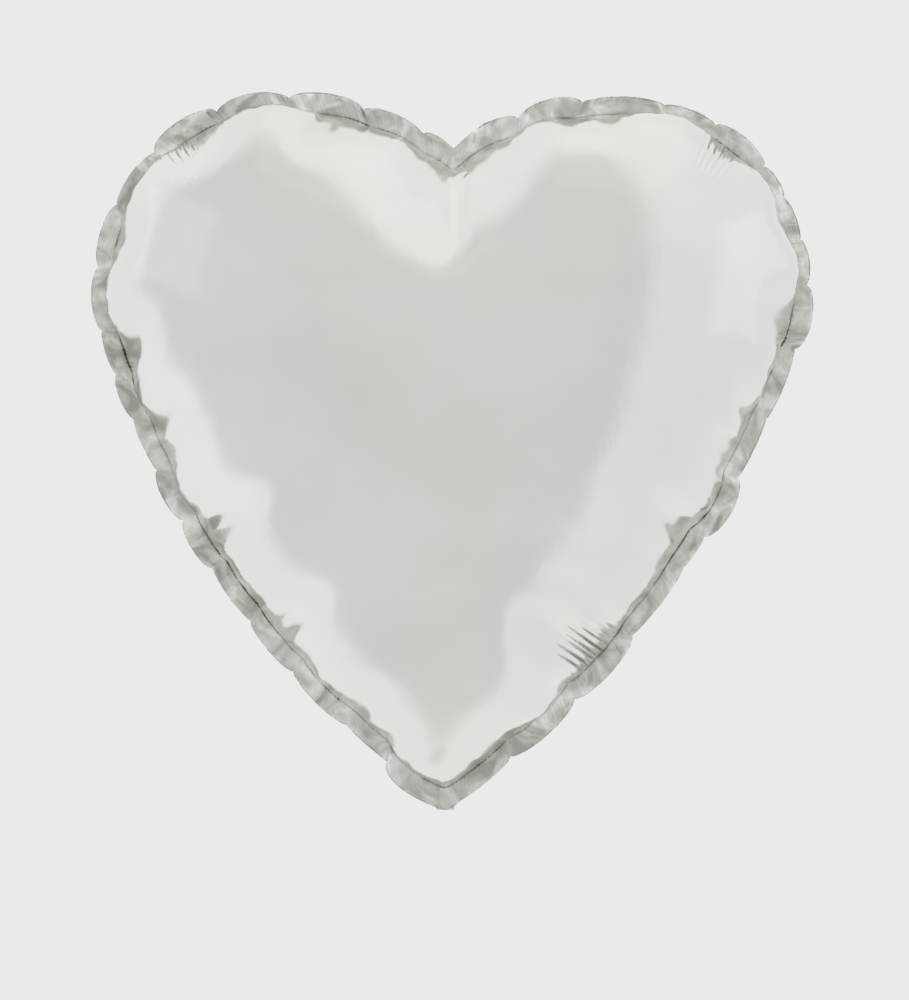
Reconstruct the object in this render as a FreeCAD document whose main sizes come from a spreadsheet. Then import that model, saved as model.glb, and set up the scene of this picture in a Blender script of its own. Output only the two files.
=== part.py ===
import FreeCAD, Part
import math
import os
import Sketcher

# Heart-shaped foil balloon, inflated, with its self-sealing valve tail folded up behind.
# Frame: X across the heart, Y from front to back, Z up. The origin is at the foot of the
# heart, in the fold of the tail, where the ribbon is tied. Millimetres and degrees.

doc = FreeCAD.newDocument("heart_foil_balloon")

# ---------------------------------------------------------------- driving dimensions
SIZES = (
    # outline of the weld's outer edge: per half a lobe arc, a shoulder arc and a side arc
    ("lobe_x", 88.5, "lobe centre, off the centre plane"),
    ("lobe_z", 277.0, "lobe centre, height"),
    ("lobe_radius", 101.0, "lobe radius at the outer edge"),
    ("shoulder_z", 228.0, "centre height of the flatter arc from lobe to cleft"),
    ("side_radius", 475.3, "radius of the long side at the outer edge"),
    ("point_z", 0.0, "height where the two sides would meet"),
    ("point_gain", 1.21, "rise of that point for each millimetre the sides are drawn in"),
    ("foot_z", 3.3, "height of the flat foot that the tail leaves from"),
    # the weld round the edge
    ("flange", 8.0, "width of the welded edge"),
    ("film", 0.5, "thickness of the stand-in film"),
    ("weld_half", 0.25, "half the thickness of the weld layer"),
    # the inflated dome of each panel
    ("dome_depth", 80.0, "height of the dome above the weld"),
    ("dome_z", 220.0, "height of the dome's highest place"),
    ("keel_rise", 95.0, "how much faster the dome closes in from the point"),
    # tail
    ("fold_z", 1.0, "height of the tail's fold line"),
    ("fold_angle", 135.0, "turn from hanging down to folded up behind"),
    ("bead_radius", 1.0, "radius of the crease"),
    ("neck_half", 4.5, "half width of the gathered neck"),
    ("tail_half", 11.0, "half width of the flat tail"),
    ("neck_end", 14.0, "distance from the fold to where the tail is flat"),
    ("ply_start", 1.6, "distance from the fold to the start of the tail's plies"),
    ("tail_end", 62.0, "distance from the fold to the tail's end"),
    ("tie_hole_radius", 2.5, "ribbon hole through the tail"),
    ("tie_hole_at", 50.0, "distance from the fold to the ribbon hole"),
    # valve
    ("valve_neck_half", 3.8, "half width of the valve at the neck"),
    ("valve_half", 8.0, "half width of the valve"),
    ("valve_slit_half", 0.05, "half the slit between the two valve films"),
    ("throat_start", 2.2, "lower end of the throat"),
    ("throat_end", 17.0, "upper end of the throat"),
    ("lip_start", 17.2, "lower end of the free lips"),
    ("lip_end", 72.0, "upper end of the free lips"),
    ("patch_start", 4.0, "lower end of the release patch"),
    ("patch_end", 16.0, "upper end of the release patch"),
)

sheet = doc.addObject("Spreadsheet::Sheet", "sizes")
for row, (alias, value, meaning) in enumerate(SIZES, start=1):
    sheet.set(f"A{row}", meaning)
    sheet.set(f"B{row}", str(value))
    sheet.setAlias(f"B{row}", alias)
doc.recompute()
size = {alias: float(value) for alias, value, _ in SIZES}

# How far the dome's cross-sections have risen, as the angle of an ellipse seen from its centre.
SECTION_ANGLES = (14, 28, 42, 55, 67, 78, 86)

parts = {}


# ---------------------------------------------------------------- helpers
def new_body(label):
    body = doc.addObject("PartDesign::Body", label)
    body.Label = label
    parts[label] = body
    return body


def front_sketch(body, name, height):
    """A sketch parallel to the XZ plane, this far in front of it (an expression)."""
    plane = next(f for f in body.Origin.OriginFeatures if f.Role == "XZ_Plane")
    sketch = body.newObject("Sketcher::SketchObject", name)
    sketch.AttachmentSupport = [(plane, "")]
    sketch.MapMode = "FlatFace"
    sketch.setExpression("AttachmentOffset.Base.z", height)
    return sketch


def bind(sketch, constraint, name, expression):
    index = sketch.addConstraint(constraint)
    sketch.renameConstraint(index, name)
    sketch.setExpression(f"Constraints.{name}", expression)


def side_centre(lobe_centre, lobe_radius, side_radius, point):
    """Centre of the circle through the point that holds the lobe's circle, touching it inside."""
    gap = lobe_centre - point
    reach = gap.Length
    inner = side_radius - lobe_radius
    along = (side_radius ** 2 - inner ** 2 + reach ** 2) / (2 * reach)
    aside = math.sqrt(side_radius ** 2 - along ** 2)
    direction = gap / reach
    return point + direction * along + FreeCAD.Vector(-direction.y, direction.x, 0) * aside


def arc(centre, radius, start, end):
    circle = Part.Circle(centre, FreeCAD.Vector(0, 0, 1), radius)
    return Part.ArcOfCircle(circle, start, end)


def angle_of(vector):
    return math.atan2(vector.y, vector.x)


def half_heart(sketch, scale, inset, point):
    """Right half of a heart: side arc, lobe arc, shoulder arc and a line down the middle.

    The heart is the outline scaled about the dome's middle and then drawn in by the inset.
    scale, inset and point are pairs: the expression and its value now.
    """
    scale_text, scale_now = scale
    inset_text, inset_now = inset
    point_text, point_now = point

    def scaled_height(alias):
        text = f"sizes.dome_z + (sizes.{alias} - sizes.dome_z) * ({scale_text})"
        return text, size["dome_z"] + (size[alias] - size["dome_z"]) * scale_now

    def scaled_radius(alias):
        text = f"(sizes.{alias} - sizes.flange) * ({scale_text}) - ({inset_text})"
        return text, (size[alias] - size["flange"]) * scale_now - inset_now

    lobe_x = f"sizes.lobe_x * ({scale_text})", size["lobe_x"] * scale_now
    lobe_z = scaled_height("lobe_z")
    shoulder_z = scaled_height("shoulder_z")
    lobe_radius = scaled_radius("lobe_radius")
    side_radius = scaled_radius("side_radius")

    lobe = FreeCAD.Vector(lobe_x[1], lobe_z[1], 0)
    shoulder = FreeCAD.Vector(lobe_x[1], shoulder_z[1], 0)
    shoulder_radius = lobe_radius[1] + lobe_z[1] - shoulder_z[1]
    foot = FreeCAD.Vector(0, point_now, 0)
    side = side_centre(lobe, lobe_radius[1], side_radius[1], foot)
    cleft = FreeCAD.Vector(0, shoulder.y + math.sqrt(shoulder_radius ** 2 - lobe.x ** 2), 0)
    touch = angle_of(lobe - side)

    side_arc = sketch.addGeometry(arc(side, side_radius[1], angle_of(foot - side), touch))
    lobe_arc = sketch.addGeometry(arc(lobe, lobe_radius[1], touch, math.pi / 2))
    shoulder_arc = sketch.addGeometry(
        arc(shoulder, shoulder_radius, math.pi / 2, angle_of(cleft - shoulder)))
    middle = sketch.addGeometry(Part.LineSegment(cleft, foot))

    start, end, centre = 1, 2, 3
    vertical_axis = -2
    origin = -1
    add = sketch.addConstraint
    add(Sketcher.Constraint("Tangent", side_arc, end, lobe_arc, start))
    add(Sketcher.Constraint("Tangent", lobe_arc, end, shoulder_arc, start))
    add(Sketcher.Constraint("Coincident", shoulder_arc, end, middle, start))
    add(Sketcher.Constraint("Coincident", middle, end, side_arc, start))
    add(Sketcher.Constraint("PointOnObject", middle, start, vertical_axis))
    add(Sketcher.Constraint("PointOnObject", middle, end, vertical_axis))
    add(Sketcher.Constraint("Vertical", lobe_arc, centre, shoulder_arc, centre))
    bind(sketch, Sketcher.Constraint("DistanceX", origin, 1, lobe_arc, centre, lobe_x[1]),
         "lobe_x", lobe_x[0])
    bind(sketch, Sketcher.Constraint("DistanceY", origin, 1, lobe_arc, centre, lobe_z[1]),
         "lobe_z", lobe_z[0])
    bind(sketch, Sketcher.Constraint("DistanceY", origin, 1, shoulder_arc, centre, shoulder_z[1]),
         "shoulder_z", shoulder_z[0])
    bind(sketch, Sketcher.Constraint("Radius", lobe_arc, lobe_radius[1]),
         "lobe_radius", lobe_radius[0])
    bind(sketch, Sketcher.Constraint("Radius", side_arc, side_radius[1]),
         "side_radius", side_radius[0])
    bind(sketch, Sketcher.Constraint("DistanceY", origin, 1, middle, end, point_now),
         "point_z", point_text)
    return sketch


def outline_parameters():
    """The weld's outer edge: the seam line let out by the flange."""
    scale = ("1", 1.0)
    inset = ("-sizes.flange", -size["flange"])
    point = ("sizes.point_z", size["point_z"])
    return scale, inset, point


def section_parameters(angle, inset):
    """A cross-section of the dome. Its point climbs faster than the rest closes in."""
    cosine = math.cos(math.radians(angle))
    sine = math.sin(math.radians(angle))
    inset_now = size["film"] if inset else 0.0
    seam_point = size["point_z"] + size["point_gain"] * size["flange"]
    point = (
        "sizes.dome_z"
        f" - (sizes.dome_z - sizes.point_z - sizes.point_gain * sizes.flange) * cos({angle})"
        f" + sizes.keel_rise * sin({angle}) * cos({angle}) + sizes.point_gain * ({inset or 0})"
    )
    point_now = (size["dome_z"] - (size["dome_z"] - seam_point) * cosine
                 + size["keel_rise"] * sine * cosine + size["point_gain"] * inset_now)
    return (f"cos({angle})", cosine), (inset or "0", inset_now), (point, point_now)


def dome_loft(body, kind, name, base_height, inset):
    """Loft of the dome's outside (no inset) or of its hollow (inset by the film)."""
    sketches = []
    for angle in (0,) + SECTION_ANGLES:
        height = f"{base_height} + sizes.dome_depth * sin({angle})"
        sketch = front_sketch(body, f"{name}_section_{angle}", height)
        half_heart(sketch, *section_parameters(angle, inset))
        sketches.append(sketch)
    loft = body.newObject(kind, name)
    loft.Profile = sketches[0]
    loft.Sections = sketches[1:]
    return loft


def pad_from(body, name, sketch, length):
    pad = body.newObject("PartDesign::Pad", name)
    pad.Profile = sketch
    pad.setExpression("Length", length)
    return pad


def cut_through(body, name, sketch):
    """Pocket both ways from the sketch, so that it always meets the solid."""
    pocket = body.newObject("PartDesign::Pocket", name)
    pocket.Profile = sketch
    pocket.Type = "ThroughAll"
    pocket.Midplane = True
    return pocket


def mirror_halves(body, features):
    """Mirrors the right half's features onto the left half."""
    plane = next(f for f in body.Origin.OriginFeatures if f.Role == "YZ_Plane")
    mirror = body.newObject("PartDesign::Mirrored", "left_half")
    mirror.Originals = features
    mirror.MirrorPlane = (plane, [""])
    body.Tip = mirror
    return mirror


def value_of(expression):
    return float(sheet.evalExpression(expression))


def outline_through(sketch, corners):
    """Closed outline of straight edges through corners given as pairs of expressions."""
    now = [FreeCAD.Vector(value_of(x), value_of(y), 0) for x, y in corners]
    count = len(corners)
    for index in range(count):
        sketch.addGeometry(Part.LineSegment(now[index], now[(index + 1) % count]))
    for index in range(count):
        sketch.addConstraint(
            Sketcher.Constraint("Coincident", index, 2, (index + 1) % count, 1))
    vertical_axis = -2
    origin = -1
    for index, (x, y) in enumerate(corners):
        if x == "0":
            sketch.addConstraint(
                Sketcher.Constraint("PointOnObject", index, 1, vertical_axis))
        else:
            bind(sketch, Sketcher.Constraint("DistanceX", origin, 1, index, 1, now[index].x),
                 f"x{index}", x)
        bind(sketch, Sketcher.Constraint("DistanceY", origin, 1, index, 1, now[index].y),
             f"y{index}", y)
    return sketch


def centred(half_width, start, end):
    """Right half of a rectangle that straddles the centre plane."""
    return [("0", start), (half_width, start), (half_width, end), ("0", end)]


def flared(neck, half_width, start, flare_end, end):
    """Right half of a strip that widens from its neck and then runs straight."""
    return [("0", start), (neck, start), (half_width, flare_end), (half_width, end), ("0", end)]


def layer(label, corners, near, thickness, hole=False):
    """A flat layer: half outline, padded forward from the height near, then mirrored."""
    body = new_body(label)
    sketch = outline_through(front_sketch(body, f"{label}_outline", near), corners)
    pad = pad_from(body, f"{label}_right", sketch, thickness)
    mirror_halves(body, [pad])
    if hole:
        cut_through(body, f"{label}_hole", tie_hole_sketch(body, label, near))
    return body


def tie_hole_sketch(body, label, height):
    sketch = front_sketch(body, f"{label}_tie_hole", height)
    centre = FreeCAD.Vector(0, size["tie_hole_at"], 0)
    circle = Part.Circle(centre, FreeCAD.Vector(0, 0, 1), size["tie_hole_radius"])
    hole = sketch.addGeometry(circle)
    sketch.addConstraint(Sketcher.Constraint("PointOnObject", hole, 3, -2))
    bind(sketch, Sketcher.Constraint("DistanceY", -1, 1, hole, 3, centre.y),
         "along", "sizes.tie_hole_at")
    bind(sketch, Sketcher.Constraint("Radius", hole, circle.Radius),
         "radius", "sizes.tie_hole_radius")
    return sketch


# ---------------------------------------------------------------- inflated panels
def outline_sketch(body, name, height):
    """Right half of the heart's outer edge."""
    scale = ("1", 1.0)
    inset = ("-sizes.flange", -size["flange"])
    point = ("sizes.point_z", size["point_z"])
    return half_heart(front_sketch(body, name, height), scale, inset, point)


def foot_cut(body, label):
    """Squares off the heart's point, where the neck of the tail leaves it."""
    corners = centred("2 * sizes.neck_half", "sizes.point_z - sizes.film", "sizes.foot_z")
    sketch = outline_through(front_sketch(body, f"{label}_foot", "sizes.weld_half"), corners)
    return cut_through(body, f"{label}_foot_cut", sketch)


def panel(label):
    """One film panel: a flat welded edge and the dome that the gas has raised inside it."""
    body = new_body(label)
    edge = outline_sketch(body, f"{label}_edge_outline", "sizes.weld_half")
    ply = pad_from(body, f"{label}_edge", edge, "sizes.film")
    foot = foot_cut(body, label)
    dome = dome_loft(body, "PartDesign::AdditiveLoft", f"{label}_dome",
                     "sizes.weld_half + sizes.film", "")
    hollow = dome_loft(body, "PartDesign::SubtractiveLoft", f"{label}_hollow",
                       "sizes.weld_half", "sizes.film")
    mirror_halves(body, [ply, foot, dome, hollow])
    return body


front_panel = panel("front_panel")
back_panel = panel("back_panel")
back_panel.Placement = FreeCAD.Placement(
    FreeCAD.Vector(0, 0, 0), FreeCAD.Rotation(FreeCAD.Vector(0, 0, 1), 180))


# ---------------------------------------------------------------- weld between the panels
def perimeter_weld():
    body = new_body("perimeter_seal")
    edge = outline_sketch(body, "weld_outline", "-sizes.weld_half")
    ring = pad_from(body, "weld_right", edge, "2 * sizes.weld_half")
    foot = foot_cut(body, "weld")
    seam = front_sketch(body, "weld_seam", "sizes.weld_half")
    half_heart(seam, *section_parameters(0, ""))
    inside = cut_through(body, "weld_inside", seam)
    gap = front_sketch(body, "weld_valve_gap_outline", "sizes.weld_half")
    outline_through(gap, centred("sizes.valve_half", "sizes.point_z - sizes.film",
                                 "sizes.throat_end"))
    valve_gap = cut_through(body, "weld_valve_gap", gap)
    mirror_halves(body, [ring, foot, inside, valve_gap])
    return body


perimeter_weld()


# ---------------------------------------------------------------- valve inside the point
VALVE_FILM = "sizes.weld_half - sizes.valve_slit_half"

throat = [("0", "sizes.throat_start"), ("sizes.valve_neck_half", "sizes.throat_start"),
          ("sizes.valve_half", "sizes.throat_end"), ("0", "sizes.throat_end")]
lip = centred("sizes.valve_half", "sizes.lip_start", "sizes.lip_end")
patch = centred("sizes.valve_neck_half", "sizes.patch_start", "sizes.patch_end")

for side, near in (("front", "sizes.valve_slit_half"), ("back", "-sizes.weld_half")):
    layer(f"valve_throat_{side}", throat, near, VALVE_FILM)
    layer(f"valve_lip_{side}", lip, near, VALVE_FILM)
layer("valve_release_patch", patch, "0", "sizes.valve_slit_half")


# ---------------------------------------------------------------- tail, folded up behind
# The tail is drawn standing up from its fold line and then leant back about that line.
tail_parts = []
ply = flared("sizes.neck_half", "sizes.tail_half", "sizes.ply_start", "sizes.neck_end",
             "sizes.tail_end")
sleeve = flared("sizes.valve_neck_half", "sizes.valve_half", "sizes.bead_radius",
                "sizes.neck_end", "sizes.tail_end")
tail_parts.append(layer("tail_back_ply", ply, "sizes.weld_half", "sizes.film", hole=True))
tail_parts.append(layer("tail_front_ply", ply, "-(sizes.weld_half + sizes.film)",
                        "sizes.film", hole=True))
tail_parts.append(layer("valve_sleeve_back", sleeve, "sizes.valve_slit_half", VALVE_FILM,
                        hole=True))
tail_parts.append(layer("valve_sleeve_front", sleeve, "-sizes.weld_half", VALVE_FILM,
                        hole=True))


def edge_strips(label, outer_neck, outer_half, inner_neck, inner_half, half_thickness):
    """The pair of weld strips along both edges of the tail."""
    body = new_body(label)
    body.AllowCompound = True
    corners = [
        (inner_neck, "sizes.bead_radius"), (outer_neck, "sizes.bead_radius"),
        (outer_half, "sizes.neck_end"), (outer_half, "sizes.tail_end"),
        (inner_half, "sizes.tail_end"), (inner_half, "sizes.neck_end"),
    ]
    sketch = front_sketch(body, f"{label}_outline", f"-({half_thickness})")
    outline_through(sketch, corners)
    pad = pad_from(body, f"{label}_right", sketch, f"2 * ({half_thickness})")
    mirror_halves(body, [pad])
    return body


tail_parts.append(edge_strips("tail_edge_seals", "sizes.neck_half", "sizes.tail_half",
                              "sizes.valve_neck_half", "sizes.valve_half",
                              "sizes.weld_half"))
tail_parts.append(edge_strips("valve_edge_seals", "sizes.valve_neck_half", "sizes.valve_half",
                              "0.7 * sizes.valve_neck_half", "0.8 * sizes.valve_half",
                              "sizes.valve_slit_half"))
for body in tail_parts:
    body.setExpression("Placement.Base.z", "sizes.fold_z")
    body.Placement.Rotation = FreeCAD.Rotation(
        FreeCAD.Vector(-1, 0, 0), 180 - size["fold_angle"])

crease = doc.addObject("Part::Cylinder", "tail_fold_crease")
crease.Label = "tail_fold_crease"
crease.setExpression("Radius", "sizes.bead_radius")
crease.setExpression("Height", "2 * sizes.neck_half")
crease.Placement.Rotation = FreeCAD.Rotation(FreeCAD.Vector(0, 1, 0), 90)
crease.setExpression("Placement.Base.x", "-sizes.neck_half")
crease.setExpression("Placement.Base.z", "sizes.fold_z")
parts["tail_fold_crease"] = crease


# ---------------------------------------------------------------- check and write
doc.recompute()
for item in doc.Objects:
    if "Invalid" in item.State or "Error" in item.State:
        raise RuntimeError(f"{item.Label} did not recompute: {item.State}")
for label, item in parts.items():
    if item.Shape.isNull() or not item.Shape.isValid() or not item.Shape.Solids:
        raise RuntimeError(f"{label} has no valid solid")

os.makedirs("parts", exist_ok=True)
for label, item in parts.items():
    item.Shape.exportStep(f"parts/{label}.step")
    box = item.Shape.BoundBox
    print(f"{label:22s} solids {len(item.Shape.Solids)}  volume {item.Shape.Volume:9.1f}"
          f"  X {box.XMin:7.2f} {box.XMax:7.2f}  Y {box.YMin:7.2f} {box.YMax:7.2f}"
          f"  Z {box.ZMin:7.2f} {box.ZMax:7.2f}")
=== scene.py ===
import math
import bpy
import numpy as np
from mathutils import Matrix, Vector


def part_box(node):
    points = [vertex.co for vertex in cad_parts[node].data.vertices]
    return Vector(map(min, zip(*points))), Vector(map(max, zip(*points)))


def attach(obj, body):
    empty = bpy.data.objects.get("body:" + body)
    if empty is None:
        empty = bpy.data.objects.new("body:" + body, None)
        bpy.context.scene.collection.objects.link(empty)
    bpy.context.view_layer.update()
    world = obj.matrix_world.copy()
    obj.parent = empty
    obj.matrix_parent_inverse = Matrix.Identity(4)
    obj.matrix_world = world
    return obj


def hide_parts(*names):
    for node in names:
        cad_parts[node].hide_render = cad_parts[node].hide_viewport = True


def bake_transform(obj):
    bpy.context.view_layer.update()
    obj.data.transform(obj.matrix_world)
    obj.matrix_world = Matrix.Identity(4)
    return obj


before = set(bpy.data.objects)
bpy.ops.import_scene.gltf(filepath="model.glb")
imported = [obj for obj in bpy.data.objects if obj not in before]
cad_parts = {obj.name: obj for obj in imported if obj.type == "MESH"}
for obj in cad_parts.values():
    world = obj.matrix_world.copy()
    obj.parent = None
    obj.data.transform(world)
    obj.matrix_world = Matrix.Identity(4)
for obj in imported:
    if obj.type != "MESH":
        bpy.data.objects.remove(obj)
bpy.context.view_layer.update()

# Everything is in metres: X across the heart, Y from front to back, Z up from the tail's fold.

# ---------------------------------------------------------------- sizes read from the frame
VALVE_CLEARANCE = 0.0002
rim_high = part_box("perimeter_seal")[1]
HALF_WIDTH = rim_high.x
TOP = rim_high.z
DOME_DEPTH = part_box("back_panel")[1].y
VALVE_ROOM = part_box("valve_throat_back")[1].y + VALVE_CLEARANCE
TAIL_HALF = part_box("tail_back_ply")[1].x

# Outline of the heart, as shares of its half width: lobe, shoulder and long side.
LOBE_RADIUS = 0.533 * HALF_WIDTH
SHOULDER_DROP = 0.2586 * HALF_WIDTH
SIDE_RADIUS = 2.508 * HALF_WIDTH
LOBE = np.array([HALF_WIDTH - LOBE_RADIUS, TOP - LOBE_RADIUS])
SHOULDER = LOBE - np.array([0, SHOULDER_DROP])
SKEW = 0.013          # the photographed balloon leans slightly to the right (+X) as it rises
MIDDLE_SHARE = 0.58   # height of the panels' middle, as a share of the heart's
MIDDLE = np.array([SKEW, 1.0]) * MIDDLE_SHARE * TOP

FLANGE = 0.0095       # width of the welded border
FILM = 0.0002         # thickness that the film is drawn with
CUT_WIDER = 1.145     # flat cut of a panel against its inflated outline, across
CUT_TALLER = 1.125    # and up
FOOT_HALF = 0.0045    # half width of the gathered foot
FOOT_LOW = -0.0003    # the foot's tip just covers the fold behind it

# Places where the film is pinched into a crease: millimetres along the rim, up from the foot.
CREASES_RIGHT = (45, 90, 135, 180, 200, 235, 270, 310, 345, 370, 395, 415, 450, 480, 525, 560)
CREASES_LEFT = (40, 70, 110, 145, 180, 210, 240, 270, 295, 320, 355, 390, 425, 465, 505, 545, 580)

SEED = 11
random = np.random.default_rng(SEED)
SCALLOP_STRENGTH = random.uniform(0.25, 1.15, len(CREASES_RIGHT) + len(CREASES_LEFT) + 2)


# ---------------------------------------------------------------- outline of the heart
EDGE_POINTS = 400     # points on the outer edge of one half, when its length is measured


def side_centre():
    """Centre of the long side's circle, which touches the lobe's and passes the foot."""
    reach = np.hypot(*LOBE)
    inner = SIDE_RADIUS - LOBE_RADIUS
    along = (SIDE_RADIUS ** 2 - inner ** 2 + reach ** 2) / (2 * reach)
    aside = math.sqrt(SIDE_RADIUS ** 2 - along ** 2)
    direction = LOBE / reach
    return direction * along + np.array([-direction[1], direction[0]]) * aside


def arc(centre, radius, start, end, steps=400):
    """Points along an arc from one angle to another."""
    angles = np.linspace(start, end, steps)
    return centre + radius * np.stack([np.cos(angles), np.sin(angles)], axis=1)


def evenly(points, count):
    """The polyline's points again, count + 1 of them, evenly spaced, and its length."""
    run = np.r_[0, np.cumsum(np.linalg.norm(np.diff(points, axis=0), axis=1))]
    at = np.linspace(0, run[-1], count + 1)
    return np.stack([np.interp(at, run, points[:, axis]) for axis in (0, 1)], axis=1), run[-1]


def half_outline(inset, count):
    """Right half of the heart's edge, drawn in by inset, from the foot up to the cleft."""
    side = side_centre()
    side_radius = SIDE_RADIUS - inset
    lobe_radius = LOBE_RADIUS - inset
    shoulder_radius = lobe_radius + SHOULDER_DROP
    foot_angle = -math.acos(-side[0] / side_radius)
    touch_angle = math.atan2(*(LOBE - side)[::-1])
    cleft_angle = math.pi - math.acos(SHOULDER[0] / shoulder_radius)
    points = np.vstack([
        arc(side, side_radius, foot_angle, touch_angle),
        arc(LOBE, lobe_radius, touch_angle, math.pi / 2)[1:],
        arc(SHOULDER, shoulder_radius, math.pi / 2, cleft_angle)[1:],
    ])
    return evenly(points, count)


def whole_outline(inset, count):
    """The heart's edge as count points, anticlockwise from the foot."""
    right, length = half_outline(inset, count // 2)
    left = right[1:-1][::-1] * np.array([-1, 1])
    points = np.vstack([right, left])
    points[:, 0] += SKEW * points[:, 1]
    return points, length


def seam_scale(length):
    """Metres along a seam whose half is this long, for each millimetre of the outer edge."""
    return length / half_outline(0, EDGE_POINTS)[1] / 1000


def outward(outline):
    """Unit vectors that point out of a closed outline."""
    along = np.roll(outline, -1, axis=0) - np.roll(outline, 1, axis=0)
    normal = np.stack([along[:, 1], -along[:, 0]], axis=1)
    return normal / np.linalg.norm(normal, axis=1)[:, None]


# ---------------------------------------------------------------- grid over one panel
SQUARE = 80     # quads along each side of the grid's inner square
RINGS = 31       # rings of quads between the square and the seam
AROUND = 4 * SQUARE
SQUARE_SHARE = 0.30                   # the square's size, as a share of the seam's


def square_edge(step):
    """Grid place of a point round the inner square, anticlockwise from the bottom's middle."""
    step = (step + SQUARE // 2) % AROUND
    side, along = divmod(step, SQUARE)
    return ((along, 0), (SQUARE, along), (SQUARE - along, SQUARE), (0, SQUARE - along))[side]


def filled_square(edge):
    """Points of the inner square, spread evenly between those of its edge."""
    square = np.zeros((SQUARE + 1, SQUARE + 1, 2))
    for step in range(AROUND):
        square[square_edge(step)] = edge[step]
    across = np.linspace(0, 1, SQUARE + 1)[:, None, None]
    up = np.linspace(0, 1, SQUARE + 1)[None, :, None]
    bottom, top = square[:, :1], square[:, -1:]
    left, right = square[:1], square[-1:]
    return ((1 - up) * bottom + up * top + (1 - across) * left + across * right
            - (1 - across) * (1 - up) * bottom[0] - across * (1 - up) * bottom[-1]
            - (1 - across) * up * top[0] - across * up * top[-1])


def panel_grid(seam):
    """Flat points and quads of a panel: rings in from the seam, and a square in the middle."""
    shares = 1 - (1 - SQUARE_SHARE) * np.arange(RINGS) / RINGS
    rings = [MIDDLE + (seam - MIDDLE) * share for share in shares]
    square = filled_square(MIDDLE + (seam - MIDDLE) * SQUARE_SHARE)
    points = np.vstack(rings + [square.reshape(-1, 2)])
    ring = np.arange(RINGS * AROUND).reshape(RINGS, AROUND)
    block = RINGS * AROUND + np.arange((SQUARE + 1) ** 2).reshape(SQUARE + 1, SQUARE + 1)
    last = np.array([block[square_edge(step)] for step in range(AROUND)])
    rows = np.vstack([ring, last])
    quads = [np.stack([rows[k], np.roll(rows[k], -1), np.roll(rows[k + 1], -1), rows[k + 1]],
                      axis=1) for k in range(RINGS)]
    quads.append(np.stack([block[:-1, :-1], block[1:, :-1], block[1:, 1:], block[:-1, 1:]],
                          axis=2).reshape(-1, 4))
    return points, np.vstack(quads)


def edges_of(quads):
    """Every edge once, as the numbers of its two points."""
    pairs = np.vstack([quads[:, [k, (k + 1) % 4]] for k in range(4)])
    return np.unique(np.sort(pairs, axis=1), axis=0)


def neighbour_sum(edges, values):
    """For every point, the sum of its neighbours' values."""
    count = len(values)
    columns = values.reshape(count, -1).T
    sums = [np.bincount(edges[:, 0], column[edges[:, 1]], minlength=count)
            + np.bincount(edges[:, 1], column[edges[:, 0]], minlength=count)
            for column in columns]
    return np.stack(sums, axis=1).reshape(values.shape)


def evened(points, edges, fixed, rounds=500):
    """Slides the free points between their neighbours until the grid is even."""
    valence = np.bincount(edges.ravel(), minlength=len(points))[:, None]
    held = points[:fixed].copy()
    for _ in range(rounds):
        points = 0.1 * points + 0.9 * neighbour_sum(edges, points) / valence
        points[:fixed] = held
    return points


def soap_film(quads, edges, points, fixed, rounds=300):
    """Height, from 0 at the seam to 1, of a soap film blown over the outline.

    The film's equation is solved by conjugate gradients.
    """
    count = len(points)
    corner = points[quads]
    one, two = corner[:, 2] - corner[:, 0], corner[:, 3] - corner[:, 1]
    area = 0.5 * np.abs(one[:, 0] * two[:, 1] - one[:, 1] * two[:, 0])
    load = sum(np.bincount(quads[:, k], area, minlength=count) for k in range(4))
    valence = np.bincount(edges.ravel(), minlength=count)
    load[:fixed] = 0
    height = np.zeros(count)
    residual = load.copy()
    direction = load.copy()
    error = residual @ residual
    for _ in range(rounds):
        pull = valence * direction - neighbour_sum(edges, direction)
        pull[:fixed] = 0
        step = error / (direction @ pull)
        height += step * direction
        residual -= step * pull
        fresh = residual @ residual
        direction = residual + fresh / error * direction
        error = fresh
    return height / height.max()


# ---------------------------------------------------------------- scalloped seam
SCALLOP_FORWARDS = 0.13    # how far a scallop of strength 1 strays, as a share of its width
SCALLOP_OUTWARDS = 0.095
SCALLOP_FLATNESS = 0.4     # under 1 makes a scallop's outward bulge flat, with sharp notches
NOTCH_DEPTH = 0.002
CALM_AT_FOOT = 0.045       # length of seam over which the scallops grow from the foot
CALM_AT_CLEFT = 0.02       # and from the cleft


def crease_marks(length):
    """Distances of the creases round the rim, one beyond each end of the round included."""
    total = 2 * length
    scale = seam_scale(length)
    marks = np.array([scale * mark for mark in CREASES_RIGHT]
                     + [total - scale * mark for mark in reversed(CREASES_LEFT)])
    return np.r_[marks[-1] - total, marks, marks[0] + total]


def scallop_middles(length):
    """Distances of the scallops' middles round the rim, and of the last mark."""
    marks = crease_marks(length)
    return np.r_[(marks[1:] + marks[:-1]) / 2, marks[-1]]


def scallops(run, length):
    """How far the seam strays at each distance along it: forwards or back, and outwards."""
    total = 2 * length
    marks = crease_marks(length)
    which = np.searchsorted(marks, run, side="right") - 1
    width = np.diff(marks)[which]
    share = (run - marks[which]) / width
    strength = SCALLOP_STRENGTH[which]
    bulge = np.sin(np.pi * share)
    forwards = SCALLOP_FORWARDS * width * np.where(which % 2, -1, 1) * strength * bulge
    outwards = SCALLOP_OUTWARDS * width * strength * bulge ** SCALLOP_FLATNESS - NOTCH_DEPTH
    calm = rim_calm(run, length)
    return forwards * calm, outwards * calm


def rim_calm(run, length):
    """Fades the scallops out towards the foot and the cleft."""
    from_foot = np.minimum(run, 2 * length - run) / CALM_AT_FOOT
    from_cleft = np.abs(run - length) / CALM_AT_CLEFT
    return np.clip(np.minimum(from_foot, from_cleft), 0, 1)


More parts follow.
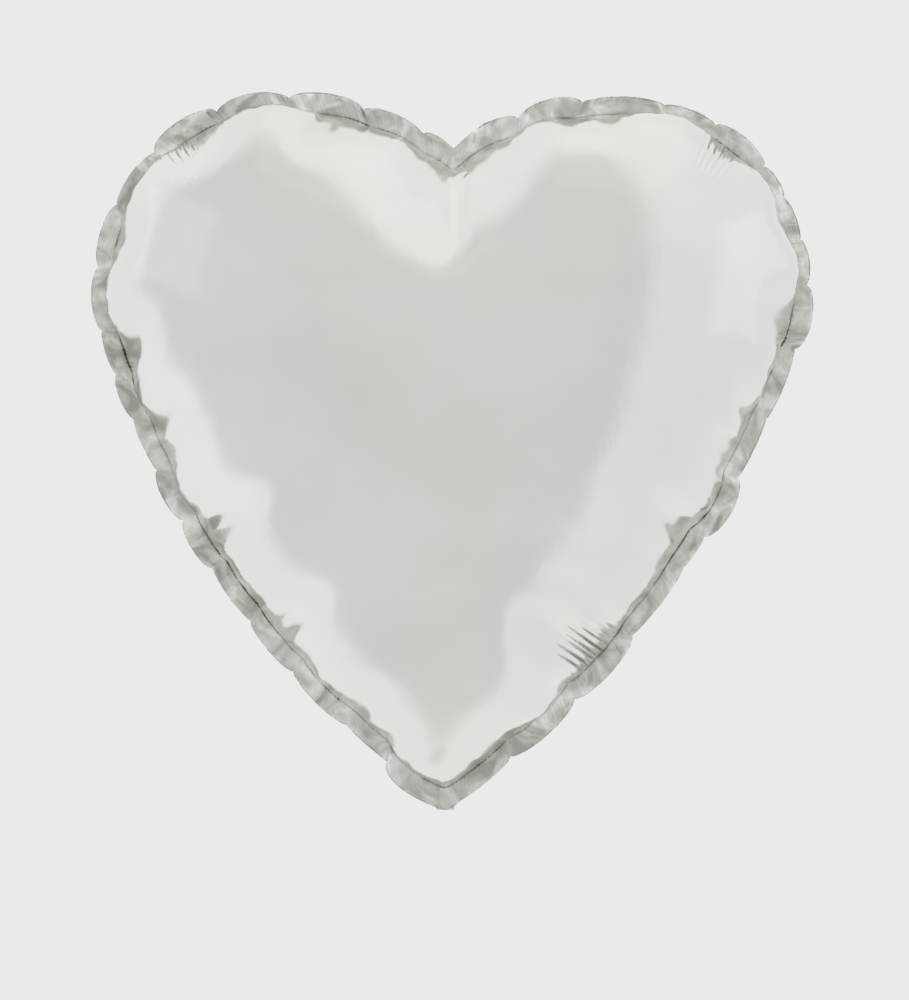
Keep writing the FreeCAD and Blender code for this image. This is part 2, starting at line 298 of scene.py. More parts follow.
# ---------------------------------------------------------------- inflating the film
INFLATE_ROUNDS = 1500
HASTE = 1.3           # how much further than an average of their pulls the threads draw a point
START_NOISE = 0.0004  # unevenness of the film before it is blown up
SCALLOP_FADE = 0.02   # how far in from the seam the scallops shape the film's start


def inflate(points, quads, flat, pinned, slackness, pressure=0.25, stiff=0.01, keep=0.9):
    """Blows up a film that may bend and pucker but hardly stretch.

    Each round the film moves on by its own speed and the gas's push, a little of its bending
    is taken out, and then every thread is drawn back towards its length in the flat cut.
    A thread shorter than that length pushes back less where slackness says so: there the real
    film gathers into puckers finer than this grid.
    """
    count = len(points)
    sides = edges_of(quads)
    threads = np.vstack([sides, quads[:, [0, 2]], quads[:, [1, 3]]])
    pull = np.r_[np.ones(len(sides)), np.full(2 * len(quads), 0.5)]
    start, end = threads[:, 0].copy(), threads[:, 1].copy()
    length = np.linalg.norm(flat[start] - flat[end], axis=1)
    share = np.bincount(threads.ravel(), np.repeat(pull, 2), minlength=count)[:, None] / HASTE
    push_back = 0.5 * pull * (1 - 0.5 * (slackness[start] + slackness[end]))
    valence = np.bincount(sides.ravel(), minlength=count)[:, None]
    held = points[:pinned].copy()
    now, before = points.copy(), points.copy()

    def gathered(places, values):
        """For every point, the sum of the values given for it."""
        return np.stack([np.bincount(places, values[:, k], minlength=count)
                         for k in range(3)], axis=1)

    def unevenness(at):
        """From each point to the average of its neighbours."""
        return neighbour_sum(sides, at) / valence - at

    for _ in range(INFLATE_ROUNDS):
        normal = np.cross(now[quads[:, 2]] - now[quads[:, 0]], now[quads[:, 3]] - now[quads[:, 1]])
        push = sum(gathered(quads[:, k], normal) for k in range(4)) / 8
        now, before = now + keep * (now - before) + pressure * push, now
        bend = unevenness(now)
        bend[:pinned] = 0
        now = now - stiff * unevenness(bend) * valence
        now[:pinned] = held
        for _ in range(2):
            gap = now[end] - now[start]
            reach = np.sqrt(np.einsum("ij,ij->i", gap, gap))
            strength = np.where(reach > length, 0.5 * pull, push_back)
            slack = gap * (strength * (reach - length) / reach)[:, None]
            now = now + (gathered(start, slack) - gathered(end, slack)) / share
            now[:pinned] = held
    return now


seam, half_length = whole_outline(FLANGE, AROUND)
run = np.arange(AROUND) / AROUND * 2 * half_length
cut = MIDDLE + (seam - MIDDLE) * np.array([CUT_WIDER, CUT_TALLER])
grid, quads = panel_grid(cut)
grid_edges = edges_of(quads)
grid = evened(grid, grid_edges, AROUND)
film_height = np.sqrt(np.clip(soap_film(quads, grid_edges, grid, AROUND), 0, 1))
forwards, outwards = scallops(run, half_length)
seam_out = outward(seam)
seam_line = np.stack([seam[:, 0] + seam_out[:, 0] * outwards, forwards,
                      seam[:, 1] + seam_out[:, 1] * outwards], axis=1)


def nearest_on_seam(places):
    """Index of the nearest seam point, and how far away it is."""
    index = np.zeros(len(places), int)
    distance = np.zeros(len(places))
    for start in range(0, len(places), 1000):
        gap = places[start:start + 1000, None] - seam[None]
        away = np.hypot(gap[..., 0], gap[..., 1])
        index[start:start + 1000] = away.argmin(axis=1)
        distance[start:start + 1000] = away.min(axis=1)
    return index, distance


shrunk = MIDDLE + (grid - MIDDLE) / np.array([CUT_WIDER, CUT_TALLER])
near_seam, from_seam = nearest_on_seam(shrunk)
seam_along = np.stack([-seam_out[:, 1], seam_out[:, 0]], axis=1)
run_near = run[near_seam] + ((shrunk - seam[near_seam]) * seam_along[near_seam]).sum(axis=1)


def blown_start(side):
    """The panel as a smooth dome with the seam's scallops fading into it."""
    fade = np.exp(-from_seam / SCALLOP_FADE)
    shift = seam_line - np.stack([seam[:, 0], np.zeros(AROUND), seam[:, 1]], axis=1)
    points = np.stack([shrunk[:, 0], side * DOME_DEPTH * film_height, shrunk[:, 1]], axis=1)
    points += shift[near_seam] * fade[:, None]
    points[AROUND:, 1] += random.normal(0, START_NOISE, len(points) - AROUND)
    points[:AROUND] = seam_line
    return points


def film_slackness():
    """How little a short thread pushes back: 0.4 over the dome, more by the foot and the cleft."""
    from_foot = np.hypot(shrunk[:, 0], shrunk[:, 1] - seam[0, 1])
    from_cleft = np.linalg.norm(shrunk - seam[AROUND // 2], axis=1)
    by_foot = np.clip(1.5 - from_foot / 0.05, 0, 0.95)
    by_cleft = np.clip(1.2 - from_cleft / 0.05, 0, 0.8)
    return np.maximum(0.4, np.maximum(by_foot, by_cleft))


def blown_panels():
    """The points of the front and back panels, blown up together as one closed film."""
    count = len(grid)
    back_index = np.r_[np.arange(AROUND), np.arange(count, 2 * count - AROUND)]
    both = np.r_[np.arange(count), np.arange(AROUND, count)]
    flat = np.stack([grid[:, 0], np.zeros(count), grid[:, 1]], axis=1)
    start = np.vstack([blown_start(-1), blown_start(1)[AROUND:]])
    closed = np.vstack([quads, back_index[quads][:, ::-1]])
    points = inflate(start, closed, flat[both], AROUND, film_slackness()[both])
    return points[:count], points[back_index]


front_points, back_points = blown_panels()


# ---------------------------------------------------------------- mesh helpers
def mesh_piece(name, points, faces, material):
    """A smooth mesh object in the scene."""
    mesh = bpy.data.meshes.new(name)
    mesh.from_pydata([tuple(p) for p in points], [], [tuple(int(i) for i in f) for f in faces])
    mesh.update()
    mesh.polygons.foreach_set("use_smooth", np.ones(len(mesh.polygons), bool))
    mesh.materials.append(material)
    piece = bpy.data.objects.new(name, mesh)
    bpy.context.scene.collection.objects.link(piece)
    return piece


def add_attribute(piece, name, values):
    """Stores a number for each point, for the materials to read."""
    layer = piece.data.attributes.new(name, "FLOAT", "POINT")
    layer.data.foreach_set("value", np.asarray(values, np.float32))


def modify(piece, kind, **settings):
    """Adds a modifier and applies it at once."""
    modifier = piece.modifiers.new(kind.lower(), kind)
    for key, value in settings.items():
        setattr(modifier, key, value)
    bpy.context.view_layer.update()
    evaluated = piece.evaluated_get(bpy.context.evaluated_depsgraph_get())
    mesh = bpy.data.meshes.new_from_object(evaluated)
    piece.modifiers.clear()
    old = piece.data
    piece.data = mesh
    mesh.name = old.name
    bpy.data.meshes.remove(old)


# ---------------------------------------------------------------- materials
RIB_PITCH = 0.0046     # of the fine pleats in the panels
CRIMP_PITCH = 0.0024   # of the weld's pressed crimp


def new_material(name, **constants):
    """A Principled material; the constants are set on the shader's own sockets."""
    material = bpy.data.materials.new(name)
    material.use_nodes = True
    surface = material.node_tree.nodes["Principled BSDF"]
    for socket, value in constants.items():
        surface.inputs[socket.replace("_", " ")].default_value = value
    return material


def add(material, kind, inputs, **settings):
    """A new node, its inputs given as numbers or as other nodes' outputs."""
    node = material.node_tree.nodes.new("ShaderNode" + kind)
    for key, value in settings.items():
        setattr(node, key, value)
    for socket, value in inputs.items():
        if isinstance(value, bpy.types.NodeSocket):
            material.node_tree.links.new(value, node.inputs[socket])
        else:
            node.inputs[socket].default_value = value
    return node


def place(material):
    """The point's own coordinates."""
    return add(material, "TexCoord", {}).outputs["Object"]


def noise(material, scale, detail=2.0, distortion=0.0):
    inputs = {"Vector": place(material), "Scale": scale, "Detail": detail,
              "Distortion": distortion}
    return add(material, "TexNoise", inputs).outputs["Fac"]


def ramp(material, factor, stops):
    """Grey values, or colours, at places along a ramp."""
    node = add(material, "ValToRGB", {"Fac": factor})
    elements = node.color_ramp.elements
    while len(elements) < len(stops):
        elements.new(0.5)
    for element, (position, value) in zip(elements, stops):
        element.position = position
        element.color = (*value, 1) if isinstance(value, tuple) else (value, value, value, 1)
    return node.outputs["Color"]


def bump(material, height, distance, strength=1.0, below=None):
    """A bumped normal, on top of another one if that is given."""
    inputs = {"Height": height, "Distance": distance, "Strength": strength}
    if below:
        inputs["Normal"] = below
    return add(material, "Bump", inputs).outputs["Normal"]


def finish_material(material, colour=None, roughness=None, normal=None):
    """Links what is given to the shader."""
    surface = material.node_tree.nodes["Principled BSDF"]
    for socket, value in (("Base Color", colour), ("Roughness", roughness), ("Normal", normal)):
        if value:
            material.node_tree.links.new(value, surface.inputs[socket])
    return material


def attribute(material, name):
    return add(material, "Attribute", {}, attribute_name=name).outputs["Fac"]


def maths(material, operation, first, second=0.0):
    return add(material, "Math", {0: first, 1: second}, operation=operation).outputs[0]


def rim_wave(material, pitch):
    """A sine wave along the rim."""
    turns = maths(material, "MULTIPLY", attribute(material, "rim_run"), 2 * math.pi / pitch)
    return maths(material, "SINE", turns)


def ribs(material):
    """Fine parallel pleats running in from the rim, where rib_mask says there are any."""
    return maths(material, "MULTIPLY", rim_wave(material, RIB_PITCH), attribute(material, "rib_mask"))


def foil_material():
    """Mirror film blown tight: nearly smooth, with faint clouding and fine pleats."""
    material = new_material("silver_foil", Metallic=1.0)
    clouds = noise(material, 14, 3)
    colour = ramp(material, clouds, [(0.35, (0.805, 0.810, 0.775)), (0.65, (0.845, 0.850, 0.820))])
    roughness = ramp(material, noise(material, 30, 3), [(0.3, 0.13), (0.7, 0.20)])
    ripple = bump(material, noise(material, 60, 3, 0.6), 0.0006, 0.35)
    pleats = bump(material, ribs(material), 0.0005, 1.0, ripple)
    return finish_material(material, colour, roughness, pleats)


def weld_material():
    """Two films melted together: duller, and pressed with a fine crimp, with a mottle whose dark and
    light patches are painted shade and painted highlights of fine crinkles.
    """
    material = new_material("welded_foil", Metallic=1.0)
    mottle_with_painted_crinkle_shade = noise(material, 60, 4, 1.2)
    # Painted light: the grey is partly the weld's own duller tone, and the dark and light mottle
    # paints the shade and highlights that fine crinkles catch.
    colour = ramp(material, mottle_with_painted_crinkle_shade, [(0.33, (0.46, 0.46, 0.42)), (0.50, (0.69, 0.69, 0.65)),
                                     (0.66, (0.88, 0.88, 0.86))])
    roughness = ramp(material, mottle_with_painted_crinkle_shade, [(0.3, 0.40), (0.7, 0.26)])
    crimp = maths(material, "MULTIPLY", rim_wave(material, CRIMP_PITCH), noise(material, 40, 2))
    pressed = bump(material, crimp, 0.00014, 0.7)
    creased = bump(material, noise(material, 130, 3, 0.8), 0.0014, 0.7, pressed)
    return finish_material(material, colour, roughness, creased)


def tail_material():
    """Slack film: the same silver with many small creases, its colour darkened as painted shade of
    those creases.
    """
    material = new_material("slack_foil", Metallic=1.0)
    # Painted shade: this colour is darker than the panels' silver to stand in for the shade of the
    # small creases.
    colour = ramp(material, noise(material, 120, 3), [(0.35, (0.70, 0.70, 0.68)),
                                                      (0.65, (0.83, 0.83, 0.81))])
    cells = add(material, "TexVoronoi", {"Vector": place(material), "Scale": 120.0},
                feature="DISTANCE_TO_EDGE").outputs["Distance"]
    creases = bump(material, ramp(material, cells, [(0.0, 0.0), (0.3, 1.0)]), 0.0003, 0.35)
    roughness = ramp(material, noise(material, 200, 3), [(0.3, 0.22), (0.7, 0.36)])
    return finish_material(material, colour, roughness, creases)


def valve_material():
    """Clear plastic film, hazy where it has been handled."""
    material = new_material("valve_film", Transmission_Weight=0.75, IOR=1.5)
    haze = noise(material, 160, 4)
    colour = ramp(material, haze, [(0.3, (0.84, 0.86, 0.86)), (0.7, (0.93, 0.94, 0.93))])
    roughness = ramp(material, haze, [(0.3, 0.12), (0.7, 0.34)])
    return finish_material(material, colour, roughness, bump(material, haze, 0.0002, 0.5))


def ink_material():
    """A matt printed patch that keeps the valve's films from sealing to each other."""
    material = new_material("release_ink", Specular_IOR_Level=0.25)
    grain = noise(material, 900, 3)
    colour = ramp(material, grain, [(0.3, (0.74, 0.74, 0.70)), (0.7, (0.84, 0.84, 0.80))])
    roughness = ramp(material, grain, [(0.3, 0.6), (0.7, 0.8)])
    return finish_material(material, colour, roughness, bump(material, grain, 0.00005, 0.5))


def paint(node, material):
    """Gives a CAD node its material."""
    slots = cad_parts[node].data.materials
    slots.clear()
    slots.append(material)


foil = foil_material()
weld = weld_material()
slack = tail_material()
film = valve_material()
ink = ink_material()
for node in ("valve_throat_front", "valve_throat_back", "valve_lip_front", "valve_lip_back",
             "valve_sleeve_front", "valve_sleeve_back", "valve_edge_seals"):
    paint(node, film)
paint("valve_release_patch", ink)
paint("tail_edge_seals", weld)


# ---------------------------------------------------------------- the blown panels
# Fine pleats: middle and half length along the rim, in millimetres up from the foot, and side,
# which is 1 for the right and -1 for the left.
RIB_PLACES = ((432, 18, -1), (438, 16, 1), (112, 26, 1))
RIB_REACH = 0.042        # how far in from the seam the pleats run
RIB_FADE = 0.02          # the last part of that, where they fade out
RIB_EDGE = 1.6           # how abruptly a band of pleats ends along the rim

PUCKER_HEIGHT = 0.0007
PUCKER_PITCHES = (0.0083, 0.0117, 0.0173)
PUCKER_START = 0.004     # how far in from the seam the puckers grow
PUCKER_REACH = 0.012     # and over what distance they die away

# The zone at the foot where the films part for the valve: its half width, its top and bottom, and
# the heights over which it fades out inside them.
CLEAR_HALF = 0.0115
CLEAR_TOP = 0.024
CLEAR_TOP_FADE = 0.008
CLEAR_LOW = 0.0004
CLEAR_LOW_FADE = 0.0014


def rib_mask(run_at, depth):
    """1 in the bands of fine pleats just inside the rim, and 0 elsewhere."""
    scale = seam_scale(half_length)
    mask = np.zeros(len(run_at))
    for centre, half, side in RIB_PLACES:
        middle = scale * centre if side > 0 else 2 * half_length - scale * centre
        band = RIB_EDGE - RIB_EDGE * abs(run_at - middle) / (scale * half)
        mask = np.maximum(mask, np.clip(band, 0, 1))
    return mask * np.clip((RIB_REACH - depth) / RIB_FADE, 0, 1)


def read(mesh, name):
    """The numbers that an attribute holds for the mesh's points."""
    values = np.zeros(len(mesh.vertices), np.float32)
    mesh.attributes[name].data.foreach_get("value", values)
    return values


def pucker(mesh, waves):
    """Raises the fine puckers that run a little way in from the weld."""
    places = np.zeros(3 * len(mesh.vertices), np.float32)
    normals = places.copy()
    mesh.vertices.foreach_get("co", places)
    mesh.vertex_normals.foreach_get("vector", normals)
    at = read(mesh, "rim_run")
    height = sum(np.sin(2 * math.pi * at / pitch + phase) for pitch, phase in waves) / 3
    height = PUCKER_HEIGHT * read(mesh, "rim_near") * (height + 0.5 * height ** 3)
    places += (normals.reshape(-1, 3) * height[:, None]).ravel()
    mesh.vertices.foreach_set("co", places)
    mesh.update()


def clear_of_valve(points, side):
    """Lifts the film at the foot round the valve, which passes between the two films there."""
    middle = np.exp(-(points[:, 0] / CLEAR_HALF) ** 4)
    near = middle * np.clip((CLEAR_TOP - points[:, 2]) / CLEAR_TOP_FADE, 0, 1)
    near *= np.clip((points[:, 2] - CLEAR_LOW) / CLEAR_LOW_FADE, 0, 1)
    lifted = side * np.maximum(side * points[:, 1], VALVE_ROOM)
    points = points.copy()
    points[:, 1] += near * (lifted - points[:, 1])
    return points


def foil_panel(name, side, points, faces, node):
    """One blown panel; side is -1 for the front and 1 for the back."""
    piece = mesh_piece(name, clear_of_valve(points, side), faces, foil)
    near = np.clip(from_seam / PUCKER_START, 0, 1) * np.exp(-from_seam / PUCKER_REACH)
    add_attribute(piece, "rim_run", run_near)
    add_attribute(piece, "rim_near", near)
    add_attribute(piece, "rib_mask", rib_mask(run_near, from_seam))
    modify(piece, "SUBSURF", levels=1)
    pucker(piece.data, [(pitch, random.uniform(0, 6)) for pitch in PUCKER_PITCHES])
    modify(piece, "SOLIDIFY", thickness=FILM, offset=-1)
    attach(piece, "balloon")
    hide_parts(node)


foil_panel("front_foil", -1, front_points, quads, "front_panel")
foil_panel("back_foil", 1, back_points, quads[:, ::-1], "back_panel")


# ---------------------------------------------------------------- the welded rim
WELD_ROWS = 6
WELD_FINENESS = 5           # points along the border for each one of the seam
WELD_UNDERLAP = 0.0006      # how far the border starts inside the seam
EDGE_SCALLOP = 0.7          # how much more the free edge bulges outwards than the seam
EDGE_FORWARDS = 0.15        # and how much more it strays forwards and back
CRINKLE = 0.0011            # height of the crinkles at the free edge
CRINKLE_PITCHES = (0.0093, 0.0131, 0.0061)
CRINKLE_WANDER = 23         # how fast the crinkles' spacing varies along the rim
UPRIGHT_AT_CLEFT = 0.12     # length of border over which its lean grows from the cleft
TIP_ROUNDING = 0.0015       # softens the tip where the border is kept above FOOT_LOW


def crinkles(at):
    """Fine waves along the border's free edge, between -1 and 1."""
    phases = random.uniform(0, 2 * math.pi, 6)    # more than are used, so that later draws keep theirs
    return sum(np.sin(at * 2 * math.pi / pitch + phases[k] + 2 * np.sin(at * CRINKLE_WANDER + k))
               for k, pitch in enumerate(CRINKLE_PITCHES)) / 3


def border_lean(at):
    """How far each scallop of the border leans back, or forwards if under 0."""
    leans = random.uniform(-0.5, 0.5, len(SCALLOP_STRENGTH))
    lean = np.interp(at, scallop_middles(half_length), leans)
    return lean * np.clip(abs(at - half_length) / UPRIGHT_AT_CLEFT, 0, 1)


def weld_points(at):
    """Rows of points, from just inside the seam out to the border's free edge."""
    closed_run = np.r_[run, 2 * half_length]
    forward = np.interp(at, closed_run, np.r_[forwards, forwards[0]])
    outer = np.interp(at, closed_run, np.r_[outwards, outwards[0]])
    sharp = scallops(at, half_length)[1]
    calm = rim_calm(at, half_length)
    crinkle = crinkles(at)
    lean = border_lean(at)
    rows = []
    for share in np.arange(WELD_ROWS + 1) / WELD_ROWS:
        edge = whole_outline((FLANGE + WELD_UNDERLAP) * (1 - share), len(at))[0]
        away = outward(edge)
        shift = outer + share * (sharp - outer + EDGE_SCALLOP * sharp)
        across = forward * (1 + EDGE_FORWARDS * share) + CRINKLE * share * crinkle * calm
        across = across + lean * share * FLANGE * calm
        above = edge[:, 1] + away[:, 1] * shift - FOOT_LOW
        height = FOOT_LOW + 0.5 * (above + np.sqrt(above ** 2 + TIP_ROUNDING ** 2))
        rows.append(np.stack([edge[:, 0] + away[:, 0] * shift, across, height], axis=1))
    return np.vstack(rows)


def part_for_valve(mesh):
    """Parts the border's two faces where the valve passes between them."""
    count = len(mesh.vertices)
    places = np.zeros(3 * count, np.float32)
    mesh.vertices.foreach_get("co", places)
    places = places.reshape(-1, 3)
    for side, half in ((-1, places[:count // 2]), (1, places[count // 2:])):
        half[:] = clear_of_valve(half, side)
    mesh.vertices.foreach_set("co", places.ravel())


def rim_weld():
    """The flat welded border: scalloped with the seam, and crinkled towards its free edge."""
    fine = WELD_FINENESS * AROUND
    at = np.arange(fine) / fine * 2 * half_length
    ring = np.arange((WELD_ROWS + 1) * fine).reshape(WELD_ROWS + 1, fine)
    faces = np.vstack([np.stack([ring[k], ring[k + 1], np.roll(ring[k + 1], -1),
                                 np.roll(ring[k], -1)], axis=1) for k in range(WELD_ROWS)])
    piece = mesh_piece("rim_weld", weld_points(at), faces, weld)
    add_attribute(piece, "rim_run", np.tile(np.minimum(at, 2 * half_length - at), WELD_ROWS + 1))
    modify(piece, "SOLIDIFY", thickness=2 * FILM, offset=0)
    part_for_valve(piece.data)
    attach(piece, "balloon")
    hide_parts("perimeter_seal")


rim_weld()


# ---------------------------------------------------------------- the tail
LEAN = math.radians(45)       # of the folded tail, back from the upright
HINGE = np.array([0.0, 0.0, 0.001])
ALONG = np.array([0, math.sin(LEAN), math.cos(LEAN)])
TOWARDS_DOME = np.array([0, -math.cos(LEAN), math.sin(LEAN)])
TAIL_COLUMNS = 32
TAIL_ROWS = 84
# Distances along the tail from its hinge.
NECK_START = 0.0016
NECK_END = 0.014
HOLE_AT = 0.050
MOUTH_START = 0.052
TAIL_END = 0.062
HOLE_RADIUS = 0.0025
NECK_LEFT = 0.004             # length beyond NECK_START in which the films part and take on pleats
PLEATS = 5.5                  # half turns of the pleats' wave, from the tail's middle to its edge
PLEAT_HEIGHT = 0.0007
PLEAT_REACH = 0.009
RIDGE_HEIGHT = 0.0006
GAPE = 0.0010                 # how far each film stands away at the mouth
SWELL = 0.0009                # and along the tail, from SWELL_START on
SWELL_START = 0.006
SWELL_GROWTH = 0.02
# Sizes round the tie hole, as shares of its radius.
HOLE_FLAT = 1.5               # the films lie flatter inside this
HOLE_FLAT_FADE = 0.8
HOLE_FLATTENING = 0.6
HOLE_GATHER = 1.12            # grid points inside this are drawn onto the hole's rim
HOLE_DEEP = 0.70              # and those inside this are left out
HOLE_CLEAR = 0.93             # as is a quad whose centre is inside this


def tail_width(along):
    """Half width of the tail at each distance from its fold."""
    share = np.clip((along - NECK_START) / (NECK_END - NECK_START), 0, 1)
    return FOOT_HALF + (TAIL_HALF - FOOT_HALF) * share ** 0.8


def ridges(across, along, count=9):
    """A field of straight sharp creases at odd angles, from 0 to about 1."""
    height = np.zeros_like(across)
    for _ in range(count):
        angle = random.uniform(-1.2, 1.2)
        offset = random.uniform(-0.008, 0.062)
        gap = (along - offset) * math.cos(angle) + across * math.sin(angle)
        height += random.uniform(0.3, 1.0) * np.exp(-abs(gap) / random.uniform(0.0012, 0.004))
    return height / 3


def tail_lift(share, run_at, side):
    """How far a film stands off the tail's middle: pleated at the neck, creased, open at its mouth."""
    middle = 1 - share ** 2
    neck = np.exp(-(run_at - NECK_START) / PLEAT_REACH)
    pleats = 0.5 + 0.5 * np.cos(share * PLEATS * math.pi + side)
    mouth = np.clip((run_at - MOUTH_START) / (TAIL_END - MOUTH_START), 0, 1) ** 2
    leaving = np.clip((run_at - NECK_START) / NECK_LEFT, 0, 1)
    creases = ridges(share * tail_width(run_at), run_at) * np.clip(4 * middle, 0, 1)
    lift = FILM + leaving * (FILM + PLEAT_HEIGHT * pleats * neck * middle) + GAPE * mouth * middle
    swell = SWELL * middle * np.clip((run_at - SWELL_START) / SWELL_GROWTH, 0, 1)
    return lift + RIDGE_HEIGHT * leaving * creases + swell


def tail_quads(x, run_at, from_hole):
    """The quads of a film's grid, without those inside its tie hole."""
    index = np.arange(x.size).reshape(x.shape)
    faces = np.stack([index[:-1, :-1], index[:-1, 1:], index[1:, 1:], index[1:, :-1]],
                     axis=2).reshape(-1, 4)
    deep = from_hole < HOLE_RADIUS * HOLE_DEEP
    faces = faces[~deep.ravel()[faces].any(axis=1)]
    centre = np.stack([x.ravel(), run_at.ravel()], axis=1)[faces].mean(axis=1)
    return faces[np.hypot(centre[:, 0], centre[:, 1] - HOLE_AT) > HOLE_RADIUS * HOLE_CLEAR]


def tail_film(name, side, node):
    """One slack film of the tail; side is 1 for the one that faces the dome at rest."""
    across = np.linspace(-1, 1, TAIL_COLUMNS + 1)
    along = NECK_START + (TAIL_END - NECK_START) * np.linspace(0, 1, TAIL_ROWS + 1)
    share, run_at = np.meshgrid(across, along)
    lift = tail_lift(share, run_at, side)
    x = share * tail_width(run_at)
    from_hole = np.hypot(x, run_at - HOLE_AT)
    flattened = np.clip((HOLE_FLAT - from_hole / HOLE_RADIUS) / HOLE_FLAT_FADE, 0, 1)
    lift = lift * (1 - HOLE_FLATTENING * flattened)
    to_rim = (from_hole < HOLE_RADIUS * HOLE_GATHER) & (from_hole > 0)
    stretch = np.where(to_rim, HOLE_RADIUS / np.maximum(from_hole, 1e-6), 1)
    x, run_at = x * stretch, HOLE_AT + (run_at - HOLE_AT) * stretch
    points = HINGE + run_at[..., None] * ALONG + side * lift[..., None] * TOWARDS_DOME
    points[..., 0] = x
    faces = tail_quads(x, run_at, from_hole)
    if side < 0:
        faces = faces[:, ::-1]
    used, faces = np.unique(faces, return_inverse=True)
    piece = mesh_piece(name, points.reshape(-1, 3)[used], faces.reshape(-1, 4), slack)
    modify(piece, "SOLIDIFY", thickness=FILM / 2, offset=1)
    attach(piece, "tail")
    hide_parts(node)


tail_film("tail_back_film", 1, "tail_back_ply")
tail_film("tail_front_film", -1, "tail_front_ply")


# ---------------------------------------------------------------- the neck
NECK_AROUND = 40
NECK_UP = 0.0010              # how far the neck runs up inside the border
NECK_DOWN = 0.0024            # and how far it runs along the tail
NECK_OUTER = 0.00028          # half thickness on the outside of its fold
NECK_OUTER_GROWTH = 0.10      # and what that gains with the distance along the tail
TURN_OUTER = 0.00030          # the same at the turn itself
TURN_INNER = 0.00002
NECK_INNER = 0.00003          # half thickness on the inside of its fold, next to the turn
INNER_GROWTH_UP = 0.15        # and what that gains with the distance up the neck
INNER_GROWTH_TAIL = 0.22      # or along the tail
NECK_PLEATS = 9
NECK_PLEAT_DEPTH = 0.2
NECK_WIDER = 1.05             # the neck's width as a multiple of the foot's


def neck_ring(centre, normal, outer, inner):
    """One ring of the flat neck; inner is its half thickness on the inside of the fold."""
    angle = np.arange(NECK_AROUND) / NECK_AROUND * 2 * math.pi
    across = np.sin(angle) * (1 + NECK_PLEAT_DEPTH * np.cos(NECK_PLEATS * angle))
    ring = centre + np.outer(across * np.where(across > 0, inner, outer), normal)
    ring[:, 0] = NECK_WIDER * FOOT_HALF * np.sin(math.pi / 2 * np.cos(angle))
    return ring


def neck_fold():
    """The gathered neck where foot and tail meet: a flat pleated tube, pinched at its fold."""
    upright = np.array([0.0, 0.0, 1.0])
    rearward = np.array([0.0, 1.0, 0.0])
    halfway = (upright + ALONG) / np.linalg.norm(upright + ALONG)
    rings = [neck_ring(HINGE + up * upright, rearward, NECK_OUTER, NECK_INNER + INNER_GROWTH_UP * up)
             for up in np.linspace(NECK_UP, 0, 6)]
    rings.append(neck_ring(HINGE, halfway, TURN_OUTER, TURN_INNER))
    rings += [neck_ring(HINGE + run_at * ALONG, TOWARDS_DOME, NECK_OUTER + NECK_OUTER_GROWTH * run_at,
                        NECK_INNER + INNER_GROWTH_TAIL * run_at)
              for run_at in np.linspace(0, NECK_DOWN, 10)]
    index = np.arange(len(rings) * NECK_AROUND).reshape(len(rings), NECK_AROUND)
    faces = [(a, b, c, d) for row in range(len(rings) - 1)
             for a, b, c, d in zip(index[row], np.roll(index[row], -1),
                                   np.roll(index[row + 1], -1), index[row + 1])]
    faces += [tuple(index[0][::-1]), tuple(index[-1])]
    piece = mesh_piece("neck_fold", np.vstack(rings), faces, slack)
    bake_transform(piece)
    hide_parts("tail_fold_crease")


neck_fold()


# ---------------------------------------------------------------- room, lights and camera
BACKDROP = 0.823              # grey that the camera sees behind everything
FLOOR = -1.6
FLOOR_RADIUS = 6.0
FLOOR_CORNERS = 96
CAMERA_AT = (0.0050, -1.464, 0.164)
LENS = 100
SENSOR_WIDTH = 36


def floor():
    """A wide pale disc well below the balloon, which the foil doesn't mirror."""
    angles = np.arange(FLOOR_CORNERS) / FLOOR_CORNERS * 2 * math.pi
    rim = [(FLOOR_RADIUS * math.cos(a), FLOOR_RADIUS * math.sin(a), FLOOR) for a in angles]
    faces = [(0, k + 1, (k + 1) % FLOOR_CORNERS + 1) for k in range(FLOOR_CORNERS)]
    material = new_material("pale_floor", Roughness=0.9)
    colour = ramp(material, noise(material, 3), [(0.3, 0.875), (0.7, 0.89)])
    piece = mesh_piece("floor", [(0, 0, FLOOR)] + rim, faces, finish_material(material, colour))
    piece.visible_glossy = False


def softbox(name, location, size, energy, target=(0, 0, 0.2), mirrored=True):
    """A square lamp turned to the balloon; the foil shows it only if it is mirrored."""
    light = bpy.data.lights.new(name, "AREA")
    light.size = size
    light.energy = energy
    lamp = bpy.data.objects.new(name, light)
    lamp.location = location
    lamp.visible_glossy = mirrored
    lamp.rotation_euler = (Vector(target) - Vector(location)).to_track_quat("-Z", "Y").to_euler()
    bpy.context.scene.collection.objects.link(lamp)


def towards(world, azimuth, elevation, stops):
    """Brightness by the angle from a direction; azimuth 0 is the camera's, 90 its left."""
    turn, rise = math.radians(azimuth), math.radians(elevation)
    axis = (-math.sin(turn) * math.cos(rise), -math.cos(turn) * math.cos(rise), math.sin(rise))
    direction = add(world, "TexCoord", {}).outputs["Generated"]
    facing = add(world, "VectorMath", {0: direction, 1: axis}, operation="DOT_PRODUCT")
    share = add(world, "Math", {0: facing.outputs["Value"], 1: 0.5, 2: 0.5}, operation="MULTIPLY_ADD")
    return ramp(world, share.outputs[0], stops)


def product(world, first, second):
    return add(world, "VectorMath", {0: first, 1: second}, operation="MULTIPLY").outputs[0]


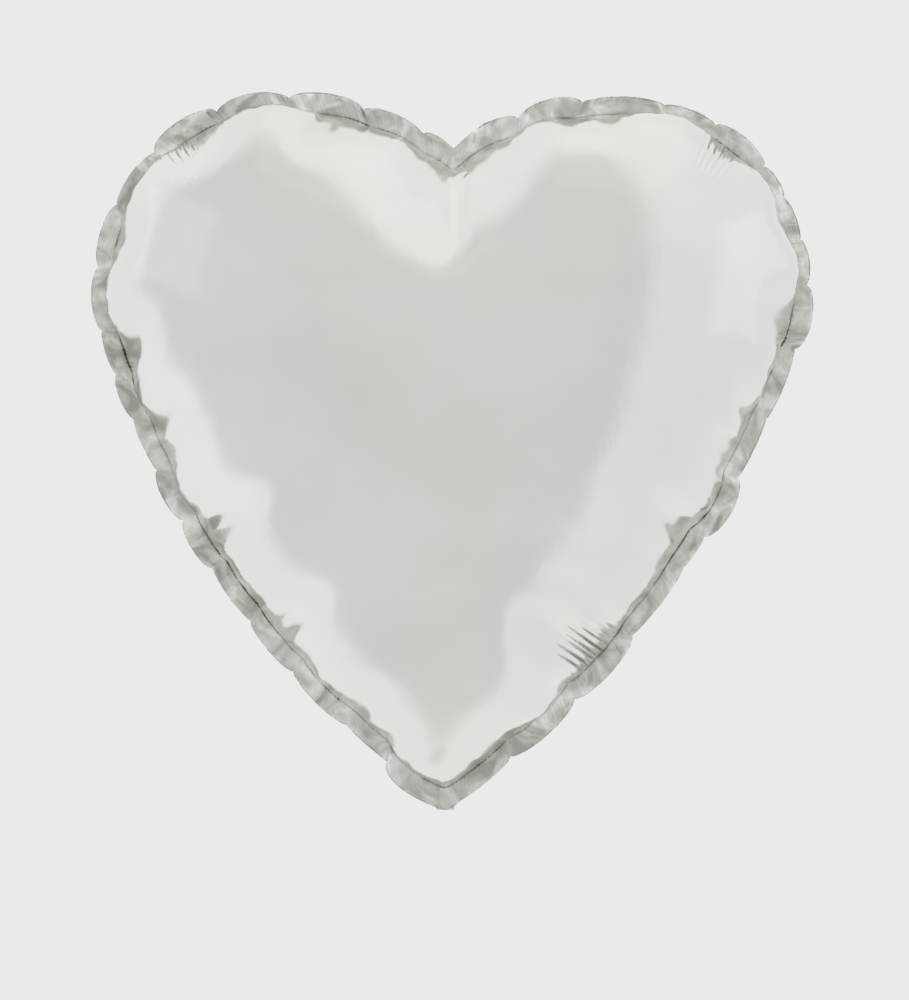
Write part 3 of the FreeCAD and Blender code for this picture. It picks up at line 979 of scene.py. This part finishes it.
def surroundings(world):
    """What the foil mirrors: brighter to the left, and darker on the camera's side."""
    camera_side = towards(world, 5, 5, [(0.0, 0.0), (0.52, 0.0), (0.60, 1.0), (1.0, 1.0)])
    left = towards(world, 60, -10, [(0.0, 0.0), (0.39, 0.0), (0.44, 1.0), (1.0, 1.0)])
    shade = maths(world, "MULTIPLY", maths(world, "MULTIPLY", camera_side, left), -0.18)
    dimming = maths(world, "ADD", shade, 1.0)
    sides = towards(world, 90, 0, [(0.0, (0.84, 0.84, 0.87)), (0.35, (0.89, 0.89, 0.88)),
                                   (0.65, (0.89, 0.89, 0.88)), (1.0, (0.90, 0.90, 0.93))])
    height = towards(world, 0, 90, [(0.0, 1.04), (0.5, 1.0), (1.0, 1.03)])
    return product(world, product(world, sides, height), dimming)


def room():
    """A pale tent round the balloon, and one even grey where the camera looks past it."""
    world = bpy.data.worlds.new("tent")
    bpy.context.scene.world = world
    world.use_nodes = True
    tree = world.node_tree
    background = tree.nodes["Background"]
    tree.links.new(surroundings(world), background.inputs["Color"])
    plain = add(world, "Background", {"Color": (BACKDROP, BACKDROP, BACKDROP * 0.998, 1)})
    seen = add(world, "LightPath", {}).outputs["Is Camera Ray"]
    mix = add(world, "MixShader", {0: seen, 1: background.outputs[0], 2: plain.outputs[0]})
    tree.links.new(mix.outputs[0], tree.nodes["World Output"].inputs["Surface"])


def camera():
    """Straight on, as in the photograph."""
    data = bpy.data.cameras.new("camera")
    data.lens = LENS
    data.sensor_width = SENSOR_WIDTH
    view = bpy.data.objects.new("camera", data)
    bpy.context.scene.collection.objects.link(view)
    view.matrix_world = Matrix.Translation(CAMERA_AT) @ Matrix.Rotation(math.pi / 2, 4, "X")
    bpy.context.scene.camera = view


floor()
room()
softbox("soft_left", (-2.4, -0.6, 1.4), 1.8, 0.7)
softbox("soft_top", (0.5, -0.2, 3.0), 2.4, 0.7)
softbox("soft_floor", (0, 0, 3.4), 5.0, 40, mirrored=False)
softbox("soft_right", (2.5, -0.2, 0.8), 1.6, 0.5)
camera()
bpy.context.scene.view_settings.view_transform = "Standard"
